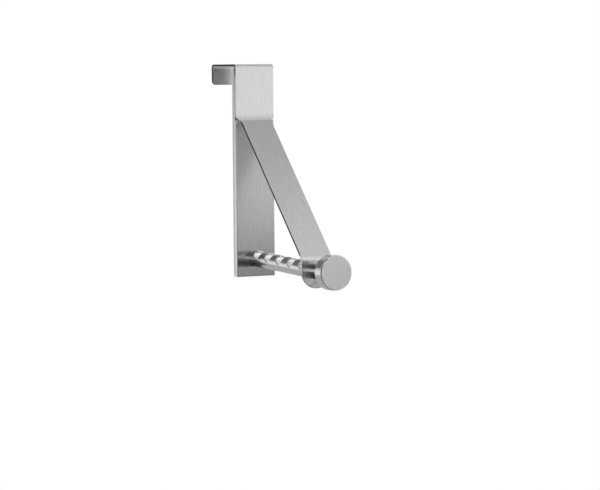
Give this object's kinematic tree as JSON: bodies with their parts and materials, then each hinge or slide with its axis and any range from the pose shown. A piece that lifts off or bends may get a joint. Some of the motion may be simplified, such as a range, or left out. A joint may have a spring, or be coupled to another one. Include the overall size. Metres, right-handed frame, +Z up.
{
  "type": "over-door hook",
  "caption": "Over-door hook: folded strap and back plate with a sloping strut, a notched rod below it and a round end knob.",
  "frame": {"origin": "middle of the door's top front edge, on the underside of the strap that lies on the door", "axes": "+Z up, -Y away from the door towards the knob, +X across the strap"},
  "size_m": [0.042, 0.2045, 0.2117],
  "materials": {
    "brushed_sheet": "brushed along the strip",
    "brushed_plate": "brushed along its length",
    "turned_bar": "satin, finely turned",
    "pad": "matt grey",
    "fastener": "plain"
  },
  "bodies": {
    "root": {"door_strap": "brushed_sheet", "back_plate": "brushed_plate", "back_pad": "pad", "notched_rod": "turned_bar", "end_knob": "turned_bar", "knob_stud": "fastener", "rod_screw": "fastener"}
  },
  "joints": []
}
